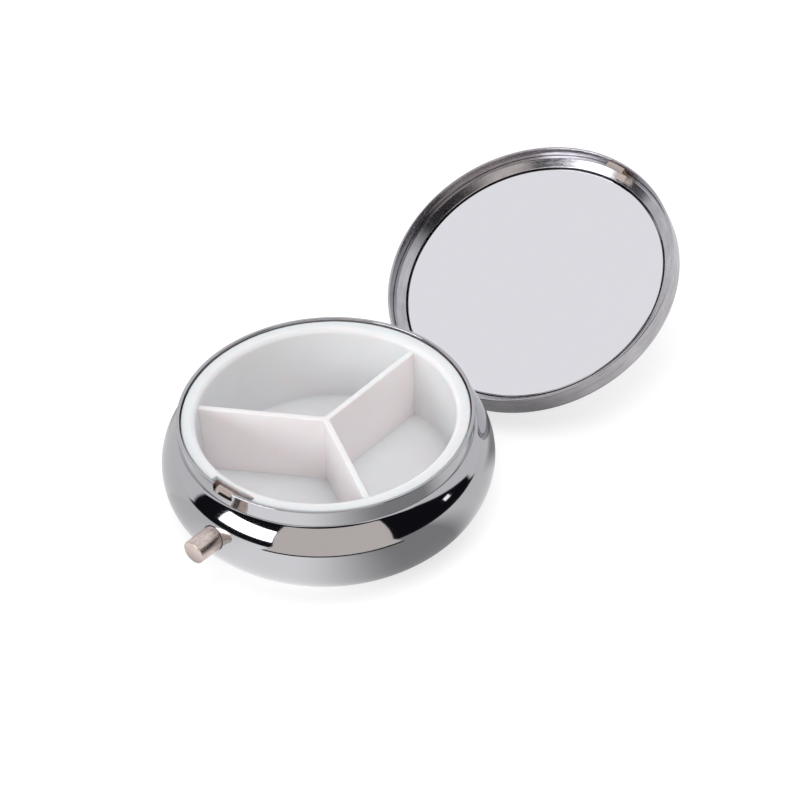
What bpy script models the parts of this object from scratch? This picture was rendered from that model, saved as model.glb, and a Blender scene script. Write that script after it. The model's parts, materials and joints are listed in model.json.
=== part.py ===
"""Travel pill organizer: a round chrome-plated pocket box with a mirrored, hinged lid.

Metres, +Z up.  The origin is the centre of the base's underside, which stands on the table.
+Y points to the hinge and -Y to the push button.  The lid is modelled closed and then turned
about the hinge axis to its open stop, which is the rest pose.
"""
import math

import bmesh
import bpy
from mathutils import Vector

MM = 0.001

# ---- driving dimensions, in millimetres ----
SEGMENTS = 72            # facets around the big turned pieces
SMALL_SEGMENTS = 20      # facets around pins, rivets and holes
GAP = 0.05               # gap left between pieces that touch

# base shell
SHELL_SHEET = 0.5
RIM_Z = 16.2             # top edge of the base
NECK_R = 22.35           # outside of the straight neck that the lid slides over
BULGE_R = 8.17           # radius of the round side wall in section
BULGE_CENTRE_R = 16.92
BULGE_CENTRE_Z = 7.57
FOOT_ANGLE = -60         # where the side wall turns in to the flat underside, in degrees
NECK_FILLET = 0.6
BULGE_STEPS = 10
FILLET_STEPS = 3

# hinge
PIVOT_Y = 22.995
PIVOT_Z = 9.625
OPEN_ANGLE = 157.2       # degrees from closed to the open stop
PIN_R = 0.55
KNUCKLE_BORE_R = 0.62
KNUCKLE_R = 1.05
KNUCKLE_SHEET = 0.4
LID_KNUCKLE_HALF = 3.5
BASE_KNUCKLE_START = 3.6
BASE_KNUCKLE_END = 6.0
PIN_HALF_LENGTH = 6.3
LEAF_BEND_Z = 10.7       # where the base leaf turns in from its knuckles
LEAF_JOIN_Z = 13.0       # where it meets the strip soldered inside the neck
LEAF_TOP_Y = 21.05
WINDOW_HALF = 6.6
WINDOW_BOTTOM = 5.2
WINDOW_TOP = 13.75

# lid, in its closed position
LID_OPENING_Z = 14.55    # leaves the catch's foot just clear of the base's rim
LID_HEIGHT = 4.5
LID_R = 23.02
LID_SHEET = 0.35
LID_CORNER_R = 1.25
CORNER_STEPS = 5
RING_DEPTH = 1.9         # from the lid's opening down to the flat of the mirror ring
RING_SHEET = 0.3
RING_STEP_R = 22.1       # where the ring's flat turns down its slope
RING_THROAT_R = 20.85    # inner end of the slope
RING_DROP = 0.7          # height of the slope
RING_LIP_DROP = 1.0      # how far the ring's edge reaches past its flat
RING_LIP_SHEET = 0.25
MIRROR_R = 20.45
MIRROR_DEPTH = 2.7
MIRROR_THICKNESS = 0.75
MIRROR_EDGE = 0.12
PAD_R = 18.8
PAD_GAP = 0.02
PAD_THICKNESS = 0.6
LEAF_SHEET = 0.2

# tray
FLANGE_R = 21.65
TRAY_TOP_Z = 15.9
FLANGE_THICKNESS = 0.9
TRAY_WALL_TOP_R = 19.55
TRAY_WALL_FOOT_R = 18.9
TRAY_FLOOR_Z = 3.4
TRAY_FLOOR_THICKNESS = 1.0
TRAY_LIP_R = 0.8         # rounding from the wall to the flange
TRAY_CORNER = 0.4        # chamfer from the floor to the wall
TRAY_OUTER_TOP_R = 20.25
TRAY_OUTER_FOOT_R = 19.85
SKIRT_R = 19.5
SKIRT_INNER_R = 18.7
SKIRT_BOTTOM_Z = 0.95
DIVIDER_TOP_Z = 14.95
DIVIDER_FOOT_WIDTH = 1.2
DIVIDER_TOP_WIDTH = 0.95
DIVIDER_ANGLES = (91.5, 211.5, 331.5)     # the tray sits turned a little in the base
RECESS_HALF = 3.9        # half width of the flange recess at the latch
RECESS_CENTRE_X = 0.9
RECESS_Y = 20.35
DOORWAY_HALF = 4.2       # opening in the skirt for the latch guide's foot

# push button and latch, at rest
BUTTON_Z = 8.45
BUTTON_R = 1.9
BUTTON_TIP_Y = 29.2      # distances along -Y
BUTTON_EDGE = 0.2
BUTTON_BORE_R = 1.35
BUTTON_BORE_END_Y = 27.6
BUTTON_FLANGE_R = 2.3
BUTTON_FLANGE_OUT_Y = 23.65
BUTTON_FLANGE_IN_Y = 23.25
STEM_R = 0.5
STEM_END_Y = 20.95
BUTTON_HOLE_R = 2.0
STRIP_OUT_Y = 21.55
STRIP_SHEET = 0.3
STRIP_HALF = 1.5
STRIP_BOTTOM_Z = 6.6
HOOK_Y = 22.2
HOOK_BOTTOM_Z = 15.35
HOOK_TOP_Z = 15.6
HOOK_EDGE = 0.1
NOTCH_HALF = 1.9
NOTCH_BOTTOM_Z = 14.8
GUIDE_OUT_Y = 21.95
GUIDE_SHEET = 0.3
GUIDE_HALF = 3.5
GUIDE_TOP_Z = 10.6
GUIDE_BEND_Z = 2.9
GUIDE_FOOT_START_Y = 19.4
GUIDE_FOOT_END_Y = 13.0
RIVET_X = 2.0
RIVET_Y = 15.1
RIVET_R = 0.75
RIVET_HEAD_R = 1.3
RIVET_HEAD_HEIGHT = 0.4
RIVET_HEAD_EDGE_Z = 0.15
RIVET_HEAD_BEVEL = 0.25
RIVET_SINK = 0.25        # the rivets' ends are sunk a little in the underside
RETAINER_R = 1.1
CATCH_HALF = 1.6
CATCH_Z = 15.0           # underside of the lid's catch tongue when closed
CATCH_SHEET = 0.2
CATCH_END_R = 21.65
TAB_START_X = 0.1        # the catch's foot, soldered on the mirror ring's slope
TAB_END_X = 3.3
TAB_OUTER_R = 22.45
TAB_INNER_R = 21.15
TAB_SHEET = 0.15
SPRING_R = 0.92
SPRING_WIRE_R = 0.11
SPRING_TURNS = 6
SPRING_POINTS_PER_TURN = 14

# colours: name, base colour, metallic, roughness
CHROME = ("chrome plate", (0.78, 0.78, 0.80), 1.0, 0.06)
SATIN_STEEL = ("satin steel", (0.62, 0.61, 0.63), 1.0, 0.32)
BARE_STEEL = ("bare steel", (0.50, 0.48, 0.46), 1.0, 0.40)
NICKEL = ("warm nickel", (0.72, 0.66, 0.60), 1.0, 0.25)
WHITE_PLASTIC = ("white plastic", (0.90, 0.89, 0.89), 0.0, 0.30)
MIRROR_GLASS = ("mirror glass", (0.86, 0.86, 0.88), 1.0, 0.03)
FOAM = ("white foam", (0.85, 0.84, 0.80), 0.0, 0.90)

for old_object in list(bpy.data.objects):
    bpy.data.objects.remove(old_object)

parts = bpy.data.collections.new("travel_pill_organizer")
cutters = bpy.data.collections.new("cutters")
bpy.context.scene.collection.children.link(parts)
bpy.context.scene.collection.children.link(cutters)


# ---- helpers ----
def material(spec):
    """The Principled material of this name, made once."""
    name, colour, metallic, roughness = spec
    found = bpy.data.materials.get(name)
    if found:
        return found
    made = bpy.data.materials.new(name)
    made.use_nodes = True
    shader = made.node_tree.nodes["Principled BSDF"]
    shader.inputs["Base Color"].default_value = (*colour, 1.0)
    shader.inputs["Metallic"].default_value = metallic
    shader.inputs["Roughness"].default_value = roughness
    return made


def mesh_object(name, work, spec=None, collection=parts):
    """Link a bmesh, drawn in millimetres, as an object in metres."""
    bmesh.ops.scale(work, vec=(MM, MM, MM), verts=work.verts)
    bmesh.ops.recalc_face_normals(work, faces=work.faces)
    mesh = bpy.data.meshes.new(name)
    work.to_mesh(mesh)
    work.free()
    made = bpy.data.objects.new(name, mesh)
    collection.objects.link(made)
    if spec:
        mesh.materials.append(material(spec))
        mesh.shade_smooth()
        mesh.set_sharp_from_angle(angle=math.radians(35))
    return made


def arc(centre, radius, start, end, steps):
    """Points of an arc in a profile plane, angles in degrees, both ends included."""
    points = []
    for step in range(steps + 1):
        angle = math.radians(start + (end - start) * step / steps)
        points.append((centre[0] + radius * math.cos(angle), centre[1] + radius * math.sin(angle)))
    return points


def turned(name, profile, spec=None, collection=parts, steps=SEGMENTS, closed=False):
    """Turn a profile of (radius, height) about Z.  It runs down the piece's outer side."""
    work = bmesh.new()
    verts = [work.verts.new((radius, 0.0, height)) for radius, height in profile]
    for first, second in zip(verts, verts[1:]):
        work.edges.new((first, second))
    if closed:
        work.edges.new((verts[-1], verts[0]))
    bmesh.ops.scale(work, vec=(MM, MM, MM), verts=work.verts)
    mesh = bpy.data.meshes.new(name)
    work.to_mesh(mesh)
    work.free()
    made = bpy.data.objects.new(name, mesh)
    collection.objects.link(made)
    screw = made.modifiers.new("turn", "SCREW")
    screw.axis = "Z"
    screw.steps = steps
    screw.render_steps = steps
    screw.use_merge_vertices = True
    screw.merge_threshold = 0.000001
    screw.use_smooth_shade = True
    if spec:
        mesh.materials.append(material(spec))
    return made


def outline_x(name, outline, start, end, spec=None, collection=parts):
    """Extrude a closed outline of (y, z) points along X from start to end."""
    work = bmesh.new()
    face = work.faces.new([work.verts.new((start, y, z)) for y, z in outline])
    grown = bmesh.ops.extrude_face_region(work, geom=[face])
    moved = [item for item in grown["geom"] if isinstance(item, bmesh.types.BMVert)]
    bmesh.ops.translate(work, vec=(end - start, 0.0, 0.0), verts=moved)
    return mesh_object(name, work, spec, collection)


def box(name, low, high, spec=None, collection=cutters):
    """A box between two corners."""
    work = bmesh.new()
    bmesh.ops.create_cube(work, size=1.0)
    size = [top - bottom for bottom, top in zip(low, high)]
    middle = [(top + bottom) / 2 for bottom, top in zip(low, high)]
    bmesh.ops.scale(work, vec=size, verts=work.verts)
    bmesh.ops.translate(work, vec=middle, verts=work.verts)
    return mesh_object(name, work, spec, collection)


def rod(name, radius, start, end, spec=None, collection=cutters, segments=SMALL_SEGMENTS):
    """A cylinder between two points."""
    work = bmesh.new()
    bmesh.ops.create_cone(work, cap_ends=True, segments=segments, radius1=radius, radius2=radius,
                          depth=(Vector(end) - Vector(start)).length)
    turn = (Vector(end) - Vector(start)).to_track_quat("Z", "Y").to_matrix()
    bmesh.ops.rotate(work, cent=(0, 0, 0), matrix=turn, verts=work.verts)
    bmesh.ops.translate(work, vec=(Vector(start) + Vector(end)) / 2, verts=work.verts)
    return mesh_object(name, work, spec, collection)


def combine(target, other, operation):
    """Add a Boolean to the target; the other object becomes a hidden guide."""
    step = target.modifiers.new(operation.lower(), "BOOLEAN")
    step.operation = operation
    step.solver = "EXACT"
    step.object = other
    other.hide_render = True
    other.display_type = "WIRE"


def cut(target, *others):
    for other in others:
        combine(target, other, "DIFFERENCE")


def join(target, *others):
    for other in others:
        combine(target, other, "UNION")


def empty(name, place, turn_x=0.0):
    """An empty that carries a moving assembly, with its origin on the joint's axis."""
    made = bpy.data.objects.new(name, None)
    made.location = [value * MM for value in place]
    made.rotation_euler = (turn_x, 0.0, 0.0)
    parts.objects.link(made)
    return made


def carry(parent, place, *children):
    """Hang pieces drawn in the closed position, with their cutters, on an empty at place."""
    for child in children:
        child.parent = parent
        child.location = [-value * MM for value in place]
        carry(parent, place, *[step.object for step in child.modifiers if step.type == "BOOLEAN"])


def knuckle(name, start, end):
    """A hinge barrel before it is bored for the pin."""
    return rod(name, KNUCKLE_R, (start, PIVOT_Y, PIVOT_Z), (end, PIVOT_Y, PIVOT_Z))


def pin_bore(name):
    """The bore through a hinge barrel."""
    reach = PIN_HALF_LENGTH + 2.0
    return rod(name, KNUCKLE_BORE_R, (-reach, PIVOT_Y, PIVOT_Z), (reach, PIVOT_Y, PIVOT_Z))


# ---- base shell ----
def fillet_centre():
    """Centre (radius, height) of the concave fillet between the neck and the bulge."""
    radius = NECK_R + NECK_FILLET
    rise = math.sqrt((BULGE_R + NECK_FILLET) ** 2 - (radius - BULGE_CENTRE_R) ** 2)
    return radius, BULGE_CENTRE_Z + rise


def shell_wall(inset):
    """The shell's wall, top to bottom, at a distance inside the outer surface."""
    centre = fillet_centre()
    lean = math.degrees(math.atan2(centre[1] - BULGE_CENTRE_Z, centre[0] - BULGE_CENTRE_R))
    neck_fillet = arc(centre, NECK_FILLET + inset, 180, 180 + lean, FILLET_STEPS)
    bulge_centre = (BULGE_CENTRE_R, BULGE_CENTRE_Z)
    bulge = arc(bulge_centre, BULGE_R - inset, lean, FOOT_ANGLE, BULGE_STEPS)
    turn = math.radians(FOOT_ANGLE)
    foot_r = (BULGE_CENTRE_Z + BULGE_R * math.sin(turn)) / (1 + math.sin(turn))
    foot_centre = (BULGE_CENTRE_R + (BULGE_R - foot_r) * math.cos(turn), foot_r)
    foot = arc(foot_centre, foot_r - inset, FOOT_ANGLE, -90, FILLET_STEPS)
    return [(NECK_R - inset, RIM_Z)] + neck_fillet + bulge[1:] + foot[1:]


def make_base_shell():
    outer = shell_wall(0.0)
    inner = shell_wall(SHELL_SHEET)
    profile = [(0.0, SHELL_SHEET)] + inner[::-1] + outer + [(0.0, 0.0)]
    shell = turned("base_shell", profile, CHROME)
    window = box("hinge_window", (-WINDOW_HALF, BULGE_CENTRE_R, WINDOW_BOTTOM),
                 (WINDOW_HALF, LID_R + BULGE_R, WINDOW_TOP))
    notch = box("latch_notch", (-NOTCH_HALF, -LID_R, NOTCH_BOTTOM_Z),
                (NOTCH_HALF, -BULGE_CENTRE_R, RIM_Z + 1.0))
    hole = rod("button_hole", BUTTON_HOLE_R, (0, -LID_R - BULGE_R, BUTTON_Z), (0, -NECK_R, BUTTON_Z))
    cut(shell, window, notch, hole)
    for x in (-RIVET_X, RIVET_X):
        cut(shell, rod("floor_rivet_hole", RIVET_R + GAP, (x, -RIVET_Y, -1.0), (x, -RIVET_Y, 1.0)))
    return shell


# ---- tray ----
def divider(angle):
    """One wall of the tray's three-way divider, thinner at its top, out to the tray's wall."""
    work = bmesh.new()
    bmesh.ops.create_cube(work, size=1.0)
    length = (TRAY_WALL_TOP_R + TRAY_OUTER_FOOT_R) / 2
    bottom = TRAY_FLOOR_Z - TRAY_FLOOR_THICKNESS / 2
    for vert in work.verts:
        on_top = vert.co.z > 0
        width = DIVIDER_TOP_WIDTH if on_top else DIVIDER_FOOT_WIDTH
        vert.co.x = length if vert.co.x > 0 else 0.0
        vert.co.y = math.copysign(width / 2, vert.co.y)
        vert.co.z = DIVIDER_TOP_Z if on_top else bottom
    wall = mesh_object("divider_guide", work, None, cutters)
    wall.rotation_euler.z = math.radians(angle)
    return wall


def make_tray():
    underside = TRAY_FLOOR_Z - TRAY_FLOOR_THICKNESS
    flange_bottom = TRAY_TOP_Z - FLANGE_THICKNESS
    inner_wall = [(0.0, TRAY_FLOOR_Z), (TRAY_WALL_FOOT_R - TRAY_CORNER, TRAY_FLOOR_Z),
                  (TRAY_WALL_FOOT_R, TRAY_FLOOR_Z + TRAY_CORNER)]
    mouth = arc((TRAY_WALL_TOP_R + TRAY_LIP_R, TRAY_TOP_Z - TRAY_LIP_R), TRAY_LIP_R, 180, 90, 3)
    flange = [(FLANGE_R, TRAY_TOP_Z), (FLANGE_R, flange_bottom)]
    outer_wall = [(TRAY_OUTER_TOP_R, flange_bottom), (TRAY_OUTER_FOOT_R, underside)]
    skirt = [(SKIRT_R, SKIRT_BOTTOM_Z), (SKIRT_INNER_R, SKIRT_BOTTOM_Z),
             (SKIRT_INNER_R, underside), (0.0, underside)]
    tray = turned("pill_tray", inner_wall + mouth + flange + outer_wall + skirt, WHITE_PLASTIC)
    join(tray, *[divider(angle) for angle in DIVIDER_ANGLES])
    recess = box("latch_recess", (RECESS_CENTRE_X - RECESS_HALF, -LID_R, flange_bottom - GAP),
                 (RECESS_CENTRE_X + RECESS_HALF, -RECESS_Y, RIM_Z))
    doorway = box("guide_doorway", (-DOORWAY_HALF, -LID_R, 0.0),
                  (DOORWAY_HALF, -BULGE_CENTRE_R, underside - GAP))
    cut(tray, recess, doorway)
    return tray


# ---- hinge ----
def bent_strip(path, sheet):
    """Closed outline of a strip of sheet bent along a path of (y, z) points."""
    left = []
    right = []
    for index, point in enumerate(path):
        before = Vector(path[max(index - 1, 0)])
        after = Vector(path[min(index + 1, len(path) - 1)])
        here = Vector(point)
        tangent_in = (here - before).normalized() if index else (after - here).normalized()
        tangent_out = (after - here).normalized() if index < len(path) - 1 else tangent_in
        mean = (tangent_in + tangent_out).normalized()
        normal = Vector((-mean.y, mean.x))
        width = sheet / 2 / max(normal.dot(Vector((-tangent_in.y, tangent_in.x))), 0.5)
        left.append(tuple(here + normal * width))
        right.append(tuple(here - normal * width))
    return left + right[::-1]


def sector(name, profile, start_x, end_x, side, spec=None, collection=cutters):
    """Part of a turned ring between two values of x, at the rear (side 1) or front (side -1)."""
    band = turned(name, profile, spec, collection, closed=True)
    reach = side * (LID_R + BULGE_R)
    keep = box(name + "_width", (start_x, min(0.0, reach), 0.0), (end_x, max(0.0, reach), 2 * RIM_Z))
    combine(band, keep, "INTERSECT")
    return band


def wall_strip(name, inner, outer, bottom, top, half_width):
    """A strip curved to the rear wall of a round shell."""
    profile = [(outer, top), (outer, bottom), (inner, bottom), (inner, top)]
    return sector(name, profile, -half_width, half_width, 1)


def make_base_hinge_leaf():
    """Leaf soldered inside the neck, with two knuckles that carry the pin."""
    neck_inside = NECK_R - SHELL_SHEET - GAP
    knuckle_y = PIVOT_Y - KNUCKLE_R + KNUCKLE_SHEET / 2
    path = [(knuckle_y, PIVOT_Z), (knuckle_y, LEAF_BEND_Z), (LEAF_TOP_Y, LEAF_JOIN_Z - KNUCKLE_SHEET),
            (LEAF_TOP_Y, LEAF_JOIN_Z + KNUCKLE_SHEET)]
    leaf = outline_x("base_hinge_leaf", bent_strip(path, KNUCKLE_SHEET), -BASE_KNUCKLE_END,
                     BASE_KNUCKLE_END, SATIN_STEEL)
    top = TRAY_TOP_Z - FLANGE_THICKNESS - 2 * GAP
    join(leaf, wall_strip("neck_strip", neck_inside - KNUCKLE_SHEET, neck_inside, LEAF_JOIN_Z, top,
                          BASE_KNUCKLE_END))
    for side in (-1, 1):
        join(leaf, knuckle("base_barrel", side * BASE_KNUCKLE_START, side * BASE_KNUCKLE_END))
    room = 3 * KNUCKLE_R
    cut(leaf, box("lid_barrel_room", (-BASE_KNUCKLE_START, PIVOT_Y - room, PIVOT_Z - room),
                  (BASE_KNUCKLE_START, PIVOT_Y + room, LEAF_JOIN_Z - KNUCKLE_SHEET)))
    cut(leaf, pin_bore("base_pin_bore"))
    return leaf


def make_lid_hinge_leaf():
    """Leaf soldered inside the lid's rear wall, curled round the pin at its lower end."""
    inner = NECK_R + GAP
    tail_y = inner + LEAF_SHEET / 2
    tail = [(tail_y, PIVOT_Z), (tail_y, PIVOT_Z + 2 * KNUCKLE_R)]
    leaf = outline_x("lid_hinge_leaf", bent_strip(tail, LEAF_SHEET), -LID_KNUCKLE_HALF,
                     LID_KNUCKLE_HALF, SATIN_STEEL)
    join(leaf, wall_strip("lid_strip", inner, inner + LEAF_SHEET, PIVOT_Z + KNUCKLE_R - LEAF_SHEET,
                          LID_OPENING_Z + RING_DEPTH - GAP, LID_KNUCKLE_HALF - LEAF_SHEET / 10))
    join(leaf, knuckle("lid_barrel", -LID_KNUCKLE_HALF, LID_KNUCKLE_HALF))
    cut(leaf, pin_bore("lid_pin_bore"))
    return leaf


def make_hinge_pin():
    return rod("hinge_pin", PIN_R, (-PIN_HALF_LENGTH, PIVOT_Y, PIVOT_Z),
               (PIN_HALF_LENGTH, PIVOT_Y, PIVOT_Z), SATIN_STEEL, parts)


# ---- lid, drawn closed ----
def make_lid_shell():
    top = LID_OPENING_Z + LID_HEIGHT
    centre = (LID_R - LID_CORNER_R, top - LID_CORNER_R)
    outer = arc(centre, LID_CORNER_R, 90, 0, CORNER_STEPS) + [(LID_R, LID_OPENING_Z)]
    inner = arc(centre, LID_CORNER_R - LID_SHEET, 90, 0, CORNER_STEPS)
    inner.append((LID_R - LID_SHEET, LID_OPENING_Z))
    profile = [(0.0, top)] + outer + inner[::-1] + [(0.0, top - LID_SHEET)]
    return turned("lid_shell", profile, SATIN_STEEL)


def make_mirror_ring():
    """Pressed ring that fills the step between the lid's wall and the mirror."""
    wall = LID_R - LID_SHEET - GAP
    face = LID_OPENING_Z + RING_DEPTH
    edge = face + RING_LIP_DROP
    seen = [(wall, face), (RING_STEP_R, face), (RING_THROAT_R, face + RING_DROP), (RING_THROAT_R, edge)]
    hidden = [(RING_THROAT_R + RING_LIP_SHEET, edge), (RING_STEP_R, face + RING_SHEET + GAP),
              (wall, face + RING_SHEET)]
    return turned("mirror_ring", seen + hidden, SATIN_STEEL, closed=True)


def disc(name, radius, low, high, edge, spec):
    """A round plate with a small bevel at both edges."""
    profile = [(0.0, high), (radius - edge, high), (radius, high - edge), (radius, low + edge),
               (radius - edge, low), (0.0, low)]
    return turned(name, profile, spec)


def make_catch():
    """Tongue at the front of the lid that the latch hook holds down, and its soldered foot."""
    wall = LID_R - LID_SHEET - GAP
    leg = wall - CATCH_SHEET
    face = LID_OPENING_Z + RING_DEPTH - GAP
    tongue = [(wall, CATCH_Z), (wall, face), (leg, face), (leg, CATCH_Z + CATCH_SHEET),
              (CATCH_END_R, CATCH_Z + CATCH_SHEET), (CATCH_END_R, CATCH_Z)]
    deepest = face + RING_DROP * (RING_STEP_R - TAB_INNER_R) / (RING_STEP_R - RING_THROAT_R)
    foot = [(TAB_OUTER_R, face - TAB_SHEET), (TAB_OUTER_R, face), (RING_STEP_R, face),
            (TAB_INNER_R, deepest), (TAB_INNER_R, deepest - TAB_SHEET), (RING_STEP_R, face - TAB_SHEET)]
    catch = sector("lid_catch", tongue, -CATCH_HALF, CATCH_HALF, -1, NICKEL, parts)
    join(catch, sector("catch_foot", foot, TAB_START_X, TAB_END_X, -1))
    return catch


# ---- push button and latch ----
def along_button(name, profile, spec, closed=False, collection=parts):
    """Turn a profile of (radius, distance along -Y) about the button's axis."""
    piece = turned(name, [(radius, -reach) for radius, reach in profile][::-1], spec, collection,
                   SMALL_SEGMENTS + 4, closed)
    piece.rotation_euler.x = -math.pi / 2
    piece.location = (0.0, 0.0, BUTTON_Z * MM)
    return piece


def make_push_button():
    profile = [(0.0, BUTTON_TIP_Y), (BUTTON_R - BUTTON_EDGE, BUTTON_TIP_Y),
               (BUTTON_R, BUTTON_TIP_Y - BUTTON_EDGE), (BUTTON_R, BUTTON_FLANGE_OUT_Y),
               (BUTTON_FLANGE_R, BUTTON_FLANGE_OUT_Y), (BUTTON_FLANGE_R, BUTTON_FLANGE_IN_Y),
               (BUTTON_BORE_R, BUTTON_FLANGE_IN_Y), (BUTTON_BORE_R, BUTTON_BORE_END_Y),
               (STEM_R, BUTTON_BORE_END_Y), (STEM_R, STEM_END_Y), (0.0, STEM_END_Y)]
    return along_button("push_button", profile, NICKEL)


def make_latch_strip():
    """Upright strip on the button's stem; its top is the hook that holds the lid's catch."""
    back = -STRIP_OUT_Y + STRIP_SHEET
    outline = [(-STRIP_OUT_Y, STRIP_BOTTOM_Z), (back, STRIP_BOTTOM_Z), (back, HOOK_TOP_Z),
               (-STRIP_OUT_Y, HOOK_TOP_Z), (-HOOK_Y, HOOK_BOTTOM_Z + HOOK_EDGE),
               (-HOOK_Y, HOOK_BOTTOM_Z),
               (-STRIP_OUT_Y, HOOK_BOTTOM_Z)]
    strip = outline_x("latch_strip", outline, -STRIP_HALF, STRIP_HALF, NICKEL)
    cut(strip, rod("strip_stem_hole", STEM_R + GAP, (0, -LID_R, BUTTON_Z), (0, -RECESS_Y, BUTTON_Z)))
    return strip


def make_retainer():
    start = STRIP_OUT_Y - STRIP_SHEET - GAP
    profile = [(RETAINER_R, start), (RETAINER_R, STEM_END_Y), (STEM_R + GAP, STEM_END_Y),
               (STEM_R + GAP, start)]
    return along_button("stem_retainer", profile, SATIN_STEEL, closed=True)


def make_spring():
    """Compression spring round the stem, inside the hollow button."""
    start = GUIDE_OUT_Y + GAP + SPRING_WIRE_R
    length = BUTTON_BORE_END_Y - GAP - SPRING_WIRE_R - start
    count = SPRING_TURNS * SPRING_POINTS_PER_TURN
    curve = bpy.data.curves.new("button_spring", "CURVE")
    curve.dimensions = "3D"
    curve.bevel_depth = SPRING_WIRE_R * MM
    curve.bevel_resolution = 1
    curve.render_resolution_u = 0
    curve.use_fill_caps = True
    line = curve.splines.new("POLY")
    line.points.add(count)
    for index, point in enumerate(line.points):
        angle = 2 * math.pi * index / SPRING_POINTS_PER_TURN
        x = SPRING_R * math.cos(angle)
        z = BUTTON_Z + SPRING_R * math.sin(angle)
        y = -(start + length * index / count)
        point.co = (x * MM, y * MM, z * MM, 1.0)
    curve.materials.append(material(BARE_STEEL))
    spring = bpy.data.objects.new("button_spring", curve)
    parts.objects.link(spring)
    return spring


def make_latch_guide():
    """Upright plate that guides the stem and backs the spring, riveted to the base's floor."""
    upright_y = -GUIDE_OUT_Y + GUIDE_SHEET / 2
    floor_z = SHELL_SHEET + GAP + GUIDE_SHEET / 2
    path = [(upright_y, GUIDE_TOP_Z), (upright_y, GUIDE_BEND_Z), (-GUIDE_FOOT_START_Y, floor_z),
            (-GUIDE_FOOT_END_Y, floor_z)]
    guide = outline_x("latch_guide", bent_strip(path, GUIDE_SHEET), -GUIDE_HALF, GUIDE_HALF,
                      SATIN_STEEL)
    cut(guide, rod("guide_stem_hole", STEM_R + 2 * GAP, (0, -LID_R, BUTTON_Z), (0, -RECESS_Y, BUTTON_Z)))
    for x in (-RIVET_X, RIVET_X):
        cut(guide, rod("guide_rivet_hole", RIVET_R + GAP, (x, -RIVET_Y, 0.0), (x, -RIVET_Y, 2.0)))
    return guide


def make_rivet(name, x):
    """Rivet from just inside the base's underside up through the guide's foot."""
    seat = SHELL_SHEET + GUIDE_SHEET + 2 * GAP
    head_top = seat + RIVET_HEAD_HEIGHT
    profile = [(0.0, head_top), (RIVET_HEAD_R - RIVET_HEAD_BEVEL, head_top),
               (RIVET_HEAD_R, seat + RIVET_HEAD_EDGE_Z), (RIVET_HEAD_R, seat), (RIVET_R, seat),
               (RIVET_R, RIVET_SINK), (0.0, RIVET_SINK)]
    rivet = turned(name, profile, BARE_STEEL, steps=SMALL_SEGMENTS)
    rivet.location = (x * MM, -RIVET_Y * MM, 0.0)
    return rivet


# ---- assembly ----
make_base_shell()
make_tray()
make_base_hinge_leaf()
make_hinge_pin()
make_latch_guide()
make_rivet("guide_rivet_left", -RIVET_X)
make_rivet("guide_rivet_right", RIVET_X)

make_push_button()
make_latch_strip()
make_retainer()
make_spring()

mirror_face = LID_OPENING_Z + MIRROR_DEPTH
mirror_back = mirror_face + MIRROR_THICKNESS
pad_face = mirror_back + PAD_GAP
pivot_place = (0.0, PIVOT_Y, PIVOT_Z)
pivot = empty("lid_pivot", pivot_place, math.radians(-OPEN_ANGLE))
carry(pivot, pivot_place,
      make_lid_shell(),
      make_mirror_ring(),
      disc("mirror", MIRROR_R, mirror_face, mirror_back, MIRROR_EDGE, MIRROR_GLASS),
      disc("mirror_pad", PAD_R, pad_face, pad_face + PAD_THICKNESS, MIRROR_EDGE, FOAM),
      make_lid_hinge_leaf(),
      make_catch())
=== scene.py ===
"""Looks of a round push-button travel pill organizer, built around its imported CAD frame.

Sizes are in millimetres and are turned into metres where a mesh is made.  The base's pieces are
drawn where they stand.  The lid's pieces are drawn closed and swung about the hinge to the rest
pose, so turned patterns in their materials can use the piece's own axis.
"""
import json
import math

import bmesh
import bpy
from mathutils import Matrix, Vector, kdtree


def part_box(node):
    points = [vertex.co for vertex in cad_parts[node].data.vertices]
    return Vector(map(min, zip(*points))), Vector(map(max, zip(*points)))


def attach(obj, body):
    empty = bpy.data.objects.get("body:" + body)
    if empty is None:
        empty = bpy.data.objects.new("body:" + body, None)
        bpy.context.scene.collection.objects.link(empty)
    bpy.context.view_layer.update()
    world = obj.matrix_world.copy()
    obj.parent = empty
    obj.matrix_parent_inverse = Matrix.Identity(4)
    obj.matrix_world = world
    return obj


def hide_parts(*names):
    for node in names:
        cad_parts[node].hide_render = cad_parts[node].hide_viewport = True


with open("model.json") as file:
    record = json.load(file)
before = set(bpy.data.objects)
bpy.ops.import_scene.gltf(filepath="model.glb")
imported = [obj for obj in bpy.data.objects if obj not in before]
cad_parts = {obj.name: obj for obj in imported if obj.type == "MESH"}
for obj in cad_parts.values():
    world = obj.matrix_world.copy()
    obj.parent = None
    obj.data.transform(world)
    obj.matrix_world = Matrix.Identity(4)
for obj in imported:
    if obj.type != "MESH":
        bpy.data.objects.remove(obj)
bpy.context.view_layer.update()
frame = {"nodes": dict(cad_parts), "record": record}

MM = 0.001
FULL_TURN = 2 * math.pi

# ---- places read from the frame, in millimetres ----
JOINTS = {joint["name"]: joint for joint in frame["record"]["behaviour"]["joints"]}
PIVOT = Vector(JOINTS["lid_hinge"]["pos_m"]) / MM
OPEN_ANGLE = math.radians(JOINTS["lid_hinge"]["range_deg"][1])


def node_box(node):
    """Lowest and highest corner of a CAD node at rest, in millimetres."""
    low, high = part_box(node)
    return Vector(low) / MM, Vector(high) / MM


SHELL_HIGH = node_box("base_shell")[1]
TRAY_HIGH = node_box("pill_tray")[1]
BUTTON_LOW, BUTTON_HIGH = node_box("push_button")
RIM_Z = SHELL_HIGH.z
BUTTON_Z = (BUTTON_LOW.z + BUTTON_HIGH.z) / 2

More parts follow.
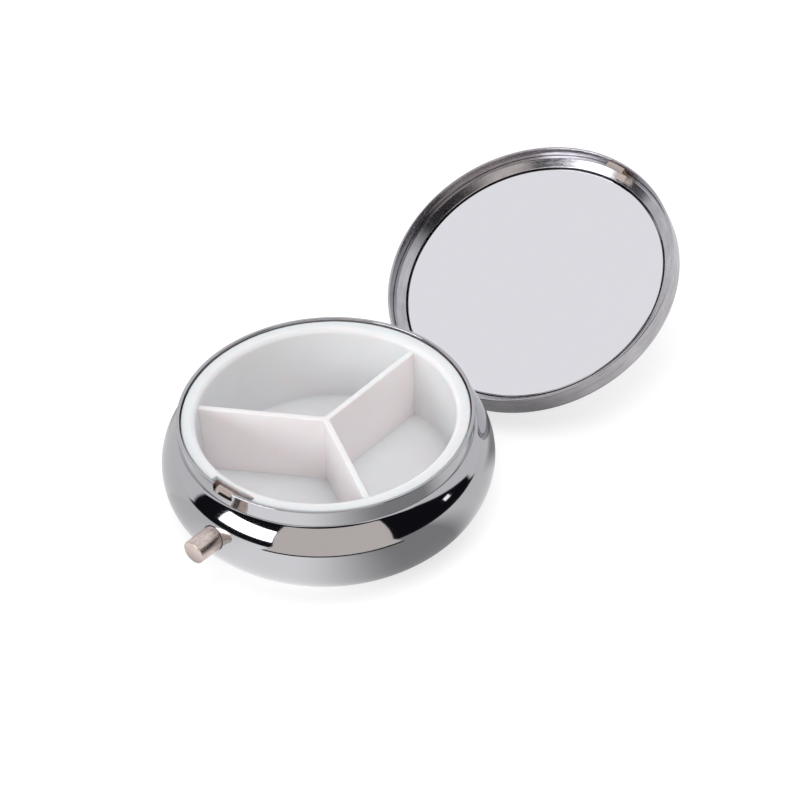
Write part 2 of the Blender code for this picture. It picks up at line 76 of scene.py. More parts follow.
# ---- sizes of the base ----
SHELL_SHEET = 0.5
NECK_R = 22.35
SHOULDER_ANGLE = 45.0       # where the side wall turns tightly in to the neck
SHOULDER_R = 1.0
BULGE_R = 8.17
BULGE_CENTRE = (16.92, 7.57)
FOOT_ANGLE = -60.0
WINDOW_HALF = 6.6
WINDOW_BOTTOM = 5.2
WINDOW_TOP = 13.75
NOTCH_HALF = 1.9
NOTCH_BOTTOM = 14.8
BUTTON_HOLE_R = 2.0
RIVET_HOLE_R = 0.8
RIM_EDGE = 0.16              # rounding of the rim's two edges

# ---- sizes of the lid, closed ----
LID_OPENING_Z = 14.55
LID_TOP_Z = 19.05
LID_R = 23.02
LID_SHEET = 0.35
LID_CORNER_R = 1.25
LID_EDGE = 0.14
RING_FACE_Z = LID_OPENING_Z + 1.9
RING_STEP_R = 22.1
RING_THROAT_R = 20.85
RING_DROP = 0.7
RING_LIP_DROP = 1.0
RING_SHEET = 0.3
RING_GAP = 0.05              # between the ring and the lid's wall
MIRROR_FACE_Z = LID_OPENING_Z + 2.7
MIRROR_BACK_Z = MIRROR_FACE_Z + 0.75
MIRROR_R = 20.6

# ---- sizes of the tray ----
TRAY_TOP_Z = TRAY_HIGH.z
FLANGE_R = 21.65
TRAY_FLOOR_Z = 3.4
TRAY_UNDER_Z = 2.4
FLANGE_THICKNESS = 0.9
WALL_TOP_R = 19.55
WALL_FOOT_R = 18.9
OUTER_TOP_R = 20.25
OUTER_FOOT_R = 19.85
SKIRT_R = 19.5
SKIRT_INNER_R = 18.7
SKIRT_BOTTOM_Z = 0.95
DIVIDER_TOP_HALF = 0.475
DIVIDER_FOOT_HALF = 0.6
DOORWAY_HALF = 4.2           # opening in the skirt for the latch guide's foot
DIVIDER_TOP_Z = 14.95
DIVIDER_ANGLES = (91.5, 211.5, 331.5)
RECESS_HALF = 3.9
RECESS_X = 0.9
RECESS_Y = 20.35

# ---- sizes of the button: radii, and distances along -Y ----
BUTTON_R = 1.9
BUTTON_EDGE = 0.22
BUTTON_FLANGE_R = 2.3
BUTTON_FLANGE_OUT = 23.65
BUTTON_FLANGE_IN = 23.25
BUTTON_BORE_R = 1.35
BUTTON_BORE_END = 27.6
STEM_R = 0.5
STEM_END = 20.95
UNSHADED_ABOVE = 1.5           # height above the axis where the button's painted shade begins, darker downward

# ---- camera ----
CAMERA_AZIMUTH = math.radians(44.55)
CAMERA_ELEVATION = math.radians(40.72)
CAMERA_ROLL = math.radians(-3.32)
CAMERA_DISTANCE = 757.0
CAMERA_LENS = 228.4
CAMERA_AIM = (11.22, 1.23)     # right of and above the rim's centre, before the roll

# ---- studio, in degrees round from the camera's side, positive clockwise seen from above ----
PANEL_COLOUR = (0.84, 0.77, 0.73)
PANEL_HALF = 37.5            # half width of the panel below the camera
ROOM_START = -102.0          # the dark room, on the right and past the softbox
ROOM_END = 97.0


# ---------------------------------------------------------------- stage
def make_camera():
    azimuth, elevation = CAMERA_AZIMUTH, CAMERA_ELEVATION
    back = Vector((math.sin(azimuth) * math.cos(elevation),
                   -math.cos(azimuth) * math.cos(elevation), math.sin(elevation)))
    right = Vector((math.cos(azimuth), math.sin(azimuth), 0.0))
    up = back.cross(right)
    aim = Vector((0.0, 0.0, RIM_Z)) + CAMERA_AIM[0] * right + CAMERA_AIM[1] * up
    turned_right = math.cos(CAMERA_ROLL) * right + math.sin(CAMERA_ROLL) * up
    turned_up = math.cos(CAMERA_ROLL) * up - math.sin(CAMERA_ROLL) * right
    place = (aim + CAMERA_DISTANCE * back) * MM
    data = bpy.data.cameras.new("photo_camera")
    data.lens = CAMERA_LENS
    data.sensor_width = 36.0
    data.clip_start = 0.01
    data.clip_end = 50.0
    camera = bpy.data.objects.new("photo_camera", data)
    bpy.context.scene.collection.objects.link(camera)
    turn = Matrix((turned_right, turned_up, back)).transposed().to_4x4()
    camera.matrix_world = Matrix.Translation(place) @ turn
    bpy.context.scene.camera = camera


class Graph:
    """A node tree with short calls for the nodes that the materials use."""

    def __init__(self, tree):
        self.tree = tree
        self.nodes = tree.nodes
        self.links = tree.links

    def node(self, kind, **settings):
        made = self.nodes.new(kind)
        for name, value in settings.items():
            setattr(made, name, value)
        return made

    def feed(self, socket, value):
        """Link a socket to an input, or set the input to a constant."""
        if isinstance(value, bpy.types.NodeSocket):
            self.links.new(value, socket)
        else:
            socket.default_value = value

    def math(self, operation, first, second=0.0, clamp=False):
        made = self.node("ShaderNodeMath", operation=operation, use_clamp=clamp)
        self.feed(made.inputs[0], first)
        self.feed(made.inputs[1], second)
        return made.outputs[0]

    def remap(self, value, low, high, to_low=0.0, to_high=1.0, smooth=False):
        made = self.node("ShaderNodeMapRange",
                         interpolation_type="SMOOTHSTEP" if smooth else "LINEAR")
        self.feed(made.inputs["Value"], value)
        for name, number in zip(("From Min", "From Max", "To Min", "To Max"),
                                (low, high, to_low, to_high)):
            self.feed(made.inputs[name], number)
        return made.outputs["Result"]

    def mix(self, factor, first, second):
        made = self.node("ShaderNodeMix", data_type="RGBA")
        self.feed(made.inputs["Factor"], factor)
        self.feed(made.inputs["A"], first)
        self.feed(made.inputs["B"], second)
        for socket in made.outputs:
            if socket.type == "RGBA":
                return socket
        return None

    def noise(self, vector, scale, detail=2.0, roughness=0.5, distortion=0.0):
        made = self.node("ShaderNodeTexNoise")
        if vector is not None:
            self.feed(made.inputs["Vector"], vector)
        self.feed(made.inputs["Scale"], scale)
        self.feed(made.inputs["Detail"], detail)
        self.feed(made.inputs["Roughness"], roughness)
        self.feed(made.inputs["Distortion"], distortion)
        return made.outputs["Fac"]

    def combine(self, x, y, z):
        made = self.node("ShaderNodeCombineXYZ")
        for socket, value in zip(made.inputs, (x, y, z)):
            self.feed(socket, value)
        return made.outputs[0]

    def split(self, vector):
        made = self.node("ShaderNodeSeparateXYZ")
        self.feed(made.inputs[0], vector)
        return made.outputs[0], made.outputs[1], made.outputs[2]

    def bump(self, height, distance, strength=1.0, normal=None):
        made = self.node("ShaderNodeBump")
        self.feed(made.inputs["Height"], height)
        self.feed(made.inputs["Distance"], distance)
        self.feed(made.inputs["Strength"], strength)
        if normal is not None:
            self.feed(made.inputs["Normal"], normal)
        return made.outputs[0]


def within(graph, value, low, high, soft):
    """1 where value lies between low and high, easing to 0 over soft on both sides."""
    rise = graph.remap(value, low - soft / 2, low + soft / 2, smooth=True)
    fall = graph.remap(value, high - soft / 2, high + soft / 2, 1.0, 0.0, smooth=True)
    return graph.math("MULTIPLY", rise, fall)


def side_angle(graph, x, y):
    """Degrees round from the camera's side, positive clockwise seen from above."""
    centre = math.pi - CAMERA_AZIMUTH
    across = graph.math("SUBTRACT", graph.math("MULTIPLY", x, math.cos(centre)),
                        graph.math("MULTIPLY", y, math.sin(centre)))
    along = graph.math("ADD", graph.math("MULTIPLY", x, math.sin(centre)),
                       graph.math("MULTIPLY", y, math.cos(centre)))
    return graph.math("DEGREES", graph.math("ARCTAN2", across, along))


def make_world():
    """A studio round the object: pale sweep behind and left, dark room right, panel and softbox."""
    world = bpy.data.worlds.new("studio")
    bpy.context.scene.world = world
    world.use_nodes = True
    graph = Graph(world.node_tree)
    coords = graph.node("ShaderNodeTexCoord").outputs["Generated"]
    x, y, z = graph.split(coords)
    elevation = graph.math("DEGREES", graph.math("ARCSINE", z))
    side = side_angle(graph, x, y)
    sky = (0.86, 0.86, 0.88, 1.0)
    dark = (0.008, 0.008, 0.011, 1.0)
    panel = (*PANEL_COLOUR, 1.0)
    lamp = (5.6, 5.6, 5.7, 1.0)
    # the dark room on the right starts further round the higher it is
    slant = graph.remap(elevation, 8.0, 42.0, ROOM_START, ROOM_START + 40.0)
    in_room = graph.math("MULTIPLY", graph.remap(graph.math("SUBTRACT", side, slant), -1.5, 1.5),
                         graph.remap(side, ROOM_END - 1.0, ROOM_END + 1.5, 1.0, 0.0))
    colour = graph.mix(in_room, sky, dark)
    roof = graph.remap(elevation, 62.0, 75.0, smooth=True)
    colour = graph.mix(roof, colour, sky)
    in_cap = graph.math("MULTIPLY", within(graph, side, -44.0, 44.0, 4.0),
                        within(graph, elevation, 50.0, 84.0, 3.0))
    colour = graph.mix(in_cap, colour, dark)
    in_panel = graph.math("MULTIPLY", within(graph, side, -PANEL_HALF, PANEL_HALF, 1.0),
                          within(graph, elevation, -8.0, 53.0, 2.0))
    colour = graph.mix(in_panel, colour, panel)
    in_lamp = graph.math("MULTIPLY", within(graph, side, 38.5, 76.0, 1.5),
                         within(graph, elevation, 8.0, 31.0, 2.0))
    colour = graph.mix(in_lamp, colour, lamp)
    in_spot = graph.math("MULTIPLY", within(graph, side, -84.0, -79.0, 1.0),
                         within(graph, elevation, 11.0, 17.0, 1.0))
    colour = graph.mix(in_spot, colour, (1.6, 1.6, 1.6, 1.0))
    background = graph.nodes["Background"]
    graph.feed(background.inputs["Color"], colour)
    background.inputs["Strength"].default_value = 1.0


def painted_table_light(graph, x, y):
    """Painted light and shade on the table, seen only in bright metal: brighter on the left, dark far off,
    a painted panel in front.
    """
    side = side_angle(graph, x, y)
    radius = graph.math("SQRT", graph.math("ADD", graph.math("MULTIPLY", x, x),
                                           graph.math("MULTIPLY", y, y)))
    # painted light: the table's brightness changes round the object, highest on the left
    rise = graph.remap(side, -32.0, 20.0, 0.34, 1.18, smooth=True)
    fall = graph.remap(side, 40.0, 80.0, 1.0, 0.66, smooth=True)
    near = graph.math("MULTIPLY", rise, fall)
    beside = graph.math("ADD", graph.remap(side, -75.0, -40.0, 1.0, 0.0, smooth=True),
                        graph.remap(side, 82.0, 93.0, smooth=True))
    near = graph.math("MAXIMUM", near, graph.math("MULTIPLY", beside, 0.84))
    # painted shadow of the lid on the table right behind the base
    behind = graph.math("ADD", graph.remap(side, -108.0, -92.0, 1.0, 0.0, smooth=True),
                        graph.remap(side, 120.0, 140.0, smooth=True))
    shade = graph.math("MULTIPLY", behind, graph.remap(radius, 0.036, 0.062, 1.0, 0.0, smooth=True))
    near = graph.math("MULTIPLY", near, graph.remap(shade, 0.0, 1.0, 1.0, 0.36))
    # painted dark on the table far off, under the dark room
    room = within(graph, side, ROOM_START, ROOM_END, 4.0)
    far = graph.math("MULTIPLY", room, graph.remap(radius, 0.150, 0.200, smooth=True))
    level = graph.mix(far, graph.combine(near, near, near), (0.010, 0.010, 0.013, 1.0))
    # a painted dark line, then a painted pale panel, on the table in front
    front = within(graph, side, -PANEL_HALF, PANEL_HALF, 2.0)
    edge = graph.math("MULTIPLY", front, within(graph, radius, 0.066, 0.079, 0.003))
    level = graph.mix(edge, level, (0.012, 0.012, 0.014, 1.0))
    board = graph.math("MULTIPLY", front, graph.remap(radius, 0.078, 0.081))
    return graph.mix(board, level, (*PANEL_COLOUR, 1.0))


def make_floor():
    """Plain pale table top; reflections see painted light and shade on it instead."""
    size = 6.0
    mesh = bpy.data.meshes.new("floor")
    mesh.from_pydata([(-size, -size, 0), (size, -size, 0), (size, size, 0), (-size, size, 0)],
                     [], [(0, 1, 2, 3)])
    floor = bpy.data.objects.new("floor", mesh)
    floor.location.z = -0.00002
    bpy.context.scene.collection.objects.link(floor)
    material = bpy.data.materials.new("floor")
    material.use_nodes = True
    graph = Graph(material.node_tree)
    shader = graph.nodes["Principled BSDF"]
    shader.inputs["Base Color"].default_value = (0.55, 0.55, 0.56, 1.0)
    shader.inputs["Roughness"].default_value = 0.7
    shader.inputs["Specular IOR Level"].default_value = 0.1
    shader.inputs["Emission Color"].default_value = (1.0, 1.0, 1.0, 1.0)
    shader.inputs["Emission Strength"].default_value = 0.62
    # bright metal sees painted light and shade on the table, where the direct view is burnt out to white
    x, y, _ = graph.split(graph.node("ShaderNodeTexCoord").outputs["Object"])
    glow = graph.node("ShaderNodeEmission")
    graph.feed(glow.inputs["Color"], painted_table_light(graph, x, y))
    choose = graph.node("ShaderNodeMixShader")
    graph.feed(choose.inputs[0], graph.node("ShaderNodeLightPath").outputs["Is Camera Ray"])
    graph.feed(choose.inputs[1], glow.outputs[0])
    graph.feed(choose.inputs[2], shader.outputs[0])
    graph.feed(graph.nodes["Material Output"].inputs["Surface"], choose.outputs[0])
    mesh.materials.append(material)


def make_lights():
    """Soft overhead fill.  It lights matt surfaces and isn't seen in the chrome."""
    centre = Vector((0.0, 20.0, 5.0))
    for name, place, size, power in (("top_fill", (60.0, -40.0, 900.0), 700.0, 2.4),
                                     ("side_fill", (700.0, -350.0, 500.0), 500.0, 0.8)):
        data = bpy.data.lights.new(name, "AREA")
        data.shape = "DISK"
        data.size = size * MM
        data.energy = power
        lamp = bpy.data.objects.new(name, data)
        bpy.context.scene.collection.objects.link(lamp)
        aim = (centre - Vector(place)).to_track_quat("-Z", "Y").to_matrix().to_4x4()
        lamp.matrix_world = Matrix.Translation(Vector(place) * MM) @ aim
        lamp.visible_glossy = False
        lamp.visible_camera = False


def make_backdrop():
    """White room far behind the table, for views from low down."""
    work = bmesh.new()
    bmesh.ops.create_uvsphere(work, u_segments=48, v_segments=24, radius=7.5)
    bmesh.ops.reverse_faces(work, faces=work.faces)
    mesh = bpy.data.meshes.new("backdrop")
    work.to_mesh(mesh)
    work.free()
    backdrop = bpy.data.objects.new("backdrop", mesh)
    bpy.context.scene.collection.objects.link(backdrop)
    material = bpy.data.materials.new("backdrop")
    material.use_nodes = True
    graph = Graph(material.node_tree)
    light = graph.node("ShaderNodeEmission")
    light.inputs["Color"].default_value = (0.98, 0.98, 0.985, 1.0)
    graph.feed(graph.nodes["Material Output"].inputs["Surface"], light.outputs[0])
    mesh.materials.append(material)
    for kind in ("diffuse", "glossy", "transmission", "volume_scatter", "shadow"):
        setattr(backdrop, "visible_" + kind, False)


# ---------------------------------------------------------------- mesh helpers
def link(name, mesh, material):
    made = bpy.data.objects.new(name, mesh)
    bpy.context.scene.collection.objects.link(made)
    mesh.materials.append(material)
    return made


class Outline:
    """A profile of (radius, height) in millimetres, kept as runs of points with exact normals.

    Walking along the outline, the solid lies on the right-hand side and the normal on the left.
    """

    def __init__(self):
        self.runs = []

    def line(self, start, end, steps=1):
        along = Vector(end) - Vector(start)
        normal = Vector((-along.y, along.x)).normalized()
        run = []
        for step in range(steps + 1):
            run.append((Vector(start) + along * (step / steps), normal))
        self.runs.append(run)
        return self

    def arc(self, centre, radius, start, end, steps):
        """Arc with angles in degrees; turning clockwise has the solid inside the arc."""
        sign = 1.0 if end < start else -1.0
        run = []
        for step in range(steps + 1):
            angle = math.radians(start + (end - start) * step / steps)
            ray = Vector((math.cos(angle), math.sin(angle)))
            run.append((Vector(centre) + radius * ray, ray * sign))
        self.runs.append(run)
        return self


def rounded(corners, closed=False, step_angle=6.0):
    """Outline through (radius, height, corner radius) points, with each corner rounded."""
    outline = Outline()
    count = len(corners)
    places = [Vector(corner[:2]) for corner in corners]
    joints = []
    for index, corner in enumerate(corners):
        at_end = not closed and index in (0, count - 1)
        round_r = corner[2] if len(corner) > 2 else 0.0
        if at_end or round_r == 0.0:
            joints.append((places[index], places[index], None))
            continue
        here = places[index]
        back = (places[index - 1] - here).normalized()
        ahead = (places[(index + 1) % count] - here).normalized()
        half = back.angle(ahead) / 2
        reach = round_r / math.tan(half)
        centre = here + (back + ahead).normalized() * (round_r / math.sin(half))
        joints.append((here + back * reach, here + ahead * reach, (centre, round_r)))
    order = list(range(count)) + ([0] if closed else [])
    for first, second in zip(order, order[1:]):
        leave = joints[first][1]
        arrive = joints[second][0]
        if (arrive - leave).length > 1e-6:
            outline.line(leave, arrive)
        if joints[second][2] and not (not closed and second == count - 1):
            centre, round_r = joints[second][2]
            start = math.degrees(math.atan2(arrive.y - centre.y, arrive.x - centre.x))
            leave = joints[second][1]
            end = math.degrees(math.atan2(leave.y - centre.y, leave.x - centre.x))
            sweep = (end - start + 180.0) % 360.0 - 180.0
            steps = max(2, math.ceil(abs(sweep) / step_angle))
            outline.arc(centre, round_r, start, start + sweep, steps)
    return outline


def lathe(name, outline, material, segments=240, axis_turn=None, place=(0.0, 0.0, 0.0)):
    """Turn an outline about Z into a closed mesh.  Its normals are set later, by polish."""
    points = []
    for run in outline.runs:
        for point, _ in run:
            if not points or (point - points[-1]).length > 1e-5:
                points.append(point)
    loop = (points[0] - points[-1]).length < 1e-5
    if loop:
        points.pop()
    rings = []
    verts = []
    for point in points:
        if point.x < 1e-5:
            rings.append([len(verts)] * segments)
            verts.append(Vector((0.0, 0.0, point.y)))
            continue
        rings.append(list(range(len(verts), len(verts) + segments)))
        for index in range(segments):
            angle = FULL_TURN * index / segments
            verts.append(Vector((point.x * math.cos(angle), point.x * math.sin(angle), point.y)))
    faces = []
    pairs = list(zip(rings, rings[1:])) + ([(rings[-1], rings[0])] if loop else [])
    for upper, lower in pairs:
        for index in range(segments):
            following = (index + 1) % segments
            face = [upper[index], lower[index], lower[following], upper[following]]
            unique = [vert for spot, vert in enumerate(face) if vert not in face[:spot]]
            if len(unique) > 2:
                faces.append(unique)
    mesh = bpy.data.meshes.new(name)
    mesh.from_pydata([vert * MM for vert in verts], [], faces)
    made = link(name, mesh, material)
    made.matrix_world = (Matrix.Translation(Vector(place) * MM) @
                         (axis_turn.to_4x4() if axis_turn else Matrix.Identity(4)))
    return made


def apply_modifiers(piece):
    """Replace a piece's mesh by its evaluated one."""
    depsgraph = bpy.context.evaluated_depsgraph_get()
    mesh = bpy.data.meshes.new_from_object(piece.evaluated_get(depsgraph))
    old = piece.data
    piece.modifiers.clear()
    piece.data = mesh
    bpy.data.meshes.remove(old)


def boolean(piece, operation, *others):
    """Cut or join by exact Booleans and remove the other objects."""
    for other in others:
        step = piece.modifiers.new("step", "BOOLEAN")
        step.operation = operation
        step.solver = "EXACT"
        step.object = other
        apply_modifiers(piece)
        bpy.data.objects.remove(other)


def polish(piece, outline, tolerance=0.03):
    """Give each corner that lies on the turned outline its exact normal, so gloss runs smooth."""
    samples = [(point, normal) for run in outline.runs for point, normal in dense(run)]
    tree = kdtree.KDTree(len(samples))
    for index, (point, _) in enumerate(samples):
        tree.insert((point.x, point.y, 0.0), index)
    tree.balance()
    mesh = piece.data
    normals = [Vector((0.0, 0.0, 1.0))] * len(mesh.loops)
    for polygon in mesh.polygons:
        polygon.use_smooth = True
        face_normal = polygon.normal
        for loop_index in polygon.loop_indices:
            co = mesh.vertices[mesh.loops[loop_index].vertex_index].co / MM
            radius = math.hypot(co.x, co.y)
            best = face_normal
            best_dot = 0.86
            if radius > 1e-4:
                ray = Vector((co.x, co.y)) / radius
            else:
                ray = Vector((face_normal.x, face_normal.y))
                ray = ray.normalized() if ray.length > 1e-6 else Vector((1.0, 0.0))
            for _, index, distance in tree.find_n((radius, co.z, 0.0), 6):
                if distance > tolerance:
                    continue
                flat = samples[index][1]
                normal = Vector((flat.x * ray.x, flat.x * ray.y, flat.y))
                dot = normal.dot(face_normal)
                if dot > best_dot + 1e-6:
                    best_dot = dot
                    best = normal
            normals[loop_index] = best
    mesh.normals_split_custom_set(normals)


def dense(run):
    """The run's points, with extra points along long straight steps."""
    spacing = 0.25
    result = []
    for (point, normal), (following, next_normal) in zip(run, run[1:]):
        count = max(1, int((following - point).length / spacing)) if normal == next_normal else 1
        for step in range(count):
            result.append((point.lerp(following, step / count), normal))
    result.append(run[-1])
    return result


def block(name, low, high, material, bevel=0.0, segments=3):
    """A box between two corners, with rounded edges if asked."""
    work = bmesh.new()
    bmesh.ops.create_cube(work, size=1.0)
    size = Vector(high) - Vector(low)
    bmesh.ops.scale(work, vec=size * MM, verts=work.verts)
    bmesh.ops.translate(work, vec=(Vector(high) + Vector(low)) / 2 * MM, verts=work.verts)
    if bevel:
        bmesh.ops.bevel(work, geom=work.edges, offset=bevel * MM, segments=segments,
                        profile=0.5, affect="EDGES")
    mesh = bpy.data.meshes.new(name)
    work.to_mesh(mesh)
    work.free()
    return link(name, mesh, material)


def rod(name, radius, start, end, material, segments=64):
    """A cylinder between two points."""
    work = bmesh.new()
    start, end = Vector(start) * MM, Vector(end) * MM
    bmesh.ops.create_cone(work, cap_ends=True, segments=segments, radius1=radius * MM,
                          radius2=radius * MM, depth=(end - start).length)
    turn = (end - start).to_track_quat("Z", "Y").to_matrix()
    bmesh.ops.rotate(work, cent=(0, 0, 0), matrix=turn, verts=work.verts)
    bmesh.ops.translate(work, vec=(start + end) / 2, verts=work.verts)
    mesh = bpy.data.meshes.new(name)
    work.to_mesh(mesh)
    work.free()
    return link(name, mesh, material)


def soften(piece, width, segments=3, angle=30.0):
    """Round a piece's sharp edges a little and shade it smooth."""
    step = piece.modifiers.new("soften", "BEVEL")
    step.width = width * MM
    step.segments = segments
    step.limit_method = "ANGLE"
    step.angle_limit = math.radians(angle)
    step.harden_normals = False
    apply_modifiers(piece)
    piece.data.shade_smooth()
    piece.data.set_sharp_from_angle(angle=math.radians(angle))


def swing_open(piece):
    """Swing a piece drawn closed to the open rest pose, about the hinge."""
    swing = (Matrix.Translation(PIVOT * MM) @ Matrix.Rotation(-OPEN_ANGLE, 4, "X") @
             Matrix.Translation(-PIVOT * MM))
    piece.matrix_world = swing @ piece.matrix_world


def finish_piece(piece, body, slot, *nodes):
    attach(piece, body)
    if nodes:
        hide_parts(*nodes)


# ---------------------------------------------------------------- materials
def start_material(name, colour, metallic, roughness):
    material = bpy.data.materials.new(name)
    material.use_nodes = True
    graph = Graph(material.node_tree)
    shader = graph.nodes["Principled BSDF"]
    shader.inputs["Base Color"].default_value = (*colour, 1.0)
    shader.inputs["Metallic"].default_value = metallic
    shader.inputs["Roughness"].default_value = roughness
    return material, graph, shader


def chrome_plate():
    """Bright plate with the slight waviness of drawn sheet and a few wipe marks."""
    material, graph, shader = start_material("chrome_plate", (0.50, 0.50, 0.52), 1.0, 0.05)
    coords = graph.node("ShaderNodeTexCoord").outputs["Object"]
    wave = graph.noise(coords, 260.0, 1.0)
    pits = graph.noise(coords, 2600.0, 2.0)
    normal = graph.bump(wave, 0.000004)
    normal = graph.bump(pits, 0.0000004, normal=normal)
    graph.feed(shader.inputs["Normal"], normal)
    smudge = graph.noise(coords, 120.0, 4.0, 0.6, 0.4)
    graph.feed(shader.inputs["Roughness"], graph.remap(smudge, 0.35, 0.7, 0.035, 0.085))
    return material


def satin_metal(name, colour, rough_low, rough_high, grain=1.0, around=True, painted_underside_shade=0.0):
    """Metal brushed round its axis: fine streaks in bump, roughness and colour.

    The last argument paints shade onto a small turned piece, darker towards its underside.
    """
    material, graph, shader = start_material(name, colour, 1.0, (rough_low + rough_high) / 2)
    coords = graph.node("ShaderNodeTexCoord").outputs["Object"]
    x, y, z = graph.split(coords)
    if around:
        radius = graph.math("SQRT", graph.math("ADD", graph.math("MULTIPLY", x, x),
                                               graph.math("MULTIPLY", y, y)))
        angle = graph.math("ARCTAN2", y, x)
        vector = graph.combine(graph.math("MULTIPLY", angle, 0.004),
                               graph.math("MULTIPLY", radius, 1.0), z)
    else:
        vector = graph.combine(graph.math("MULTIPLY", x, 0.06), y, z)
    streaks = graph.noise(vector, 9000.0, 3.0, 0.65)
    broad = graph.noise(vector, 1800.0, 2.0, 0.5)
    clouds = graph.noise(coords, 180.0, 3.0, 0.6)
    graph.feed(shader.inputs["Roughness"], graph.remap(streaks, 0.3, 0.7, rough_low, rough_high))
    normal = graph.bump(streaks, 0.0000008 * grain)
    normal = graph.bump(broad, 0.0000020 * grain, normal=normal)
    graph.feed(shader.inputs["Normal"], normal)
    low = (colour[0] * 0.82, colour[1] * 0.82, colour[2] * 0.83, 1.0)
    high = (min(colour[0] * 1.12, 1.0), min(colour[1] * 1.12, 1.0), min(colour[2] * 1.12, 1.0), 1.0)
    tone = graph.math("ADD", graph.math("MULTIPLY", broad, 0.5), graph.math("MULTIPLY", clouds, 0.5))
    paint = graph.mix(graph.remap(tone, 0.35, 0.65), low, high)
    # painted shade: the colour darkens towards the piece's underside
    if painted_underside_shade:
        shade_colour = (colour[0] * 0.36, colour[1] * 0.36, colour[2] * 0.38, 1.0)
        depth = graph.remap(y, UNSHADED_ABOVE * MM, -BUTTON_R * MM, 0.0, painted_underside_shade)
        paint = graph.mix(depth, paint, shade_colour)
    graph.feed(shader.inputs["Base Color"], paint)
    return material


def white_plastic():
    """Semi-gloss moulded plastic with light passing a little way in, and faint flow marks."""
    material, graph, shader = start_material("white_plastic", (0.87, 0.85, 0.855), 0.0, 0.35)
    coords = graph.node("ShaderNodeTexCoord").outputs["Object"]
    grain = graph.noise(coords, 5200.0, 2.0)
    flow = graph.noise(coords, 90.0, 3.0, 0.5, 0.6)
    graph.feed(shader.inputs["Roughness"], graph.remap(flow, 0.35, 0.65, 0.28, 0.42))
    normal = graph.bump(flow, 0.00001)
    graph.feed(shader.inputs["Normal"], graph.bump(grain, 0.0000006, normal=normal))
    graph.feed(shader.inputs["Base Color"],
               graph.mix(graph.remap(flow, 0.3, 0.7), (0.85, 0.828, 0.835, 1.0),
                         (0.88, 0.862, 0.87, 1.0)))
    shader.inputs["Subsurface Weight"].default_value = 0.6
    shader.inputs["Subsurface Radius"].default_value = (0.0022, 0.0013, 0.0012)
    shader.inputs["Subsurface Scale"].default_value = 1.0
    shader.inputs["IOR"].default_value = 1.46
    return material


def mirror_glass():
    material, graph, shader = start_material("mirror_glass", (0.82, 0.82, 0.85), 1.0, 0.02)
    coords = graph.node("ShaderNodeTexCoord").outputs["Object"]
    haze = graph.noise(coords, 70.0, 4.0, 0.6, 0.3)
    graph.feed(shader.inputs["Roughness"], graph.remap(haze, 0.3, 0.7, 0.01, 0.05))
    graph.feed(shader.inputs["Normal"], graph.bump(graph.noise(coords, 60.0, 1.0), 0.000002))
    return material


def foam():
    material, graph, shader = start_material("white_foam", (0.8, 0.79, 0.75), 0.0, 0.9)
    coords = graph.node("ShaderNodeTexCoord").outputs["Object"]
    cells = graph.node("ShaderNodeTexVoronoi")
    graph.feed(cells.inputs["Vector"], coords)
    cells.inputs["Scale"].default_value = 4000.0
    graph.feed(shader.inputs["Normal"], graph.bump(cells.outputs["Distance"], 0.00005))
    return material


CHROME = chrome_plate()
LID_SATIN = satin_metal("lid_satin", (0.54, 0.52, 0.545), 0.16, 0.30)
RING_SATIN = satin_metal("ring_satin", (0.52, 0.52, 0.54), 0.12, 0.24)
STEEL = satin_metal("bare_steel", (0.50, 0.47, 0.44), 0.28, 0.42, 1.0, around=False)
# the button's nickel gets painted shade on its underside
NICKEL = satin_metal("warm_nickel", (0.78, 0.66, 0.60), 0.20, 0.30, 0.8, painted_underside_shade=0.95)
STRIP_NICKEL = satin_metal("strip_nickel", (0.55, 0.47, 0.42), 0.22, 0.36, 1.2, around=False)
PLASTIC = white_plastic()
GLASS = mirror_glass()
FOAM = foam()


# ---------------------------------------------------------------- base
def shell_outline():
    """The drawn sheet of the base: floor inside, inner wall, rolled rim edge, outer wall."""
    outline = Outline()
    lean = math.radians(SHOULDER_ANGLE)
    shoulder = (BULGE_CENTRE[0] + (BULGE_R - SHOULDER_R) * math.cos(lean),
                BULGE_CENTRE[1] + (BULGE_R - SHOULDER_R) * math.sin(lean))
    edge = RIM_EDGE
    neck_in = NECK_R - SHELL_SHEET
    inner_r = SHOULDER_R - SHELL_SHEET
    crease_in = math.degrees(math.acos((neck_in - shoulder[0]) / inner_r))
    crease_out = math.degrees(math.acos((NECK_R - shoulder[0]) / SHOULDER_R))
    crease_in_z = shoulder[1] + inner_r * math.sin(math.radians(crease_in))
    crease_out_z = shoulder[1] + SHOULDER_R * math.sin(math.radians(crease_out))
    turn = math.radians(FOOT_ANGLE)
    foot_r = (BULGE_CENTRE[1] + BULGE_R * math.sin(turn)) / (1 + math.sin(turn))
    foot_centre = (BULGE_CENTRE[0] + (BULGE_R - foot_r) * math.cos(turn), foot_r)
    outline.line((0.0, SHELL_SHEET), (foot_centre[0], SHELL_SHEET), 6)
    outline.arc(foot_centre, foot_r - SHELL_SHEET, -90, FOOT_ANGLE, 8)
    outline.arc(BULGE_CENTRE, BULGE_R - SHELL_SHEET, FOOT_ANGLE, SHOULDER_ANGLE, 30)
    outline.arc(shoulder, inner_r, SHOULDER_ANGLE, crease_in, 8)
    outline.line((neck_in, crease_in_z), (neck_in, RIM_Z - edge))
    outline.arc((neck_in + edge, RIM_Z - edge), edge, 180, 90, 5)
    outline.line((neck_in + edge, RIM_Z), (NECK_R - edge, RIM_Z))
    outline.arc((NECK_R - edge, RIM_Z - edge), edge, 90, 0, 5)
    outline.line((NECK_R, RIM_Z - edge), (NECK_R, crease_out_z), 3)
    outline.arc(shoulder, SHOULDER_R, crease_out, SHOULDER_ANGLE, 10)
    outline.arc(BULGE_CENTRE, BULGE_R, SHOULDER_ANGLE, FOOT_ANGLE, 60)
    outline.arc(foot_centre, foot_r, FOOT_ANGLE, -90, 12)
    outline.line((foot_centre[0], 0.0), (0.0, 0.0), 6)
    return outline


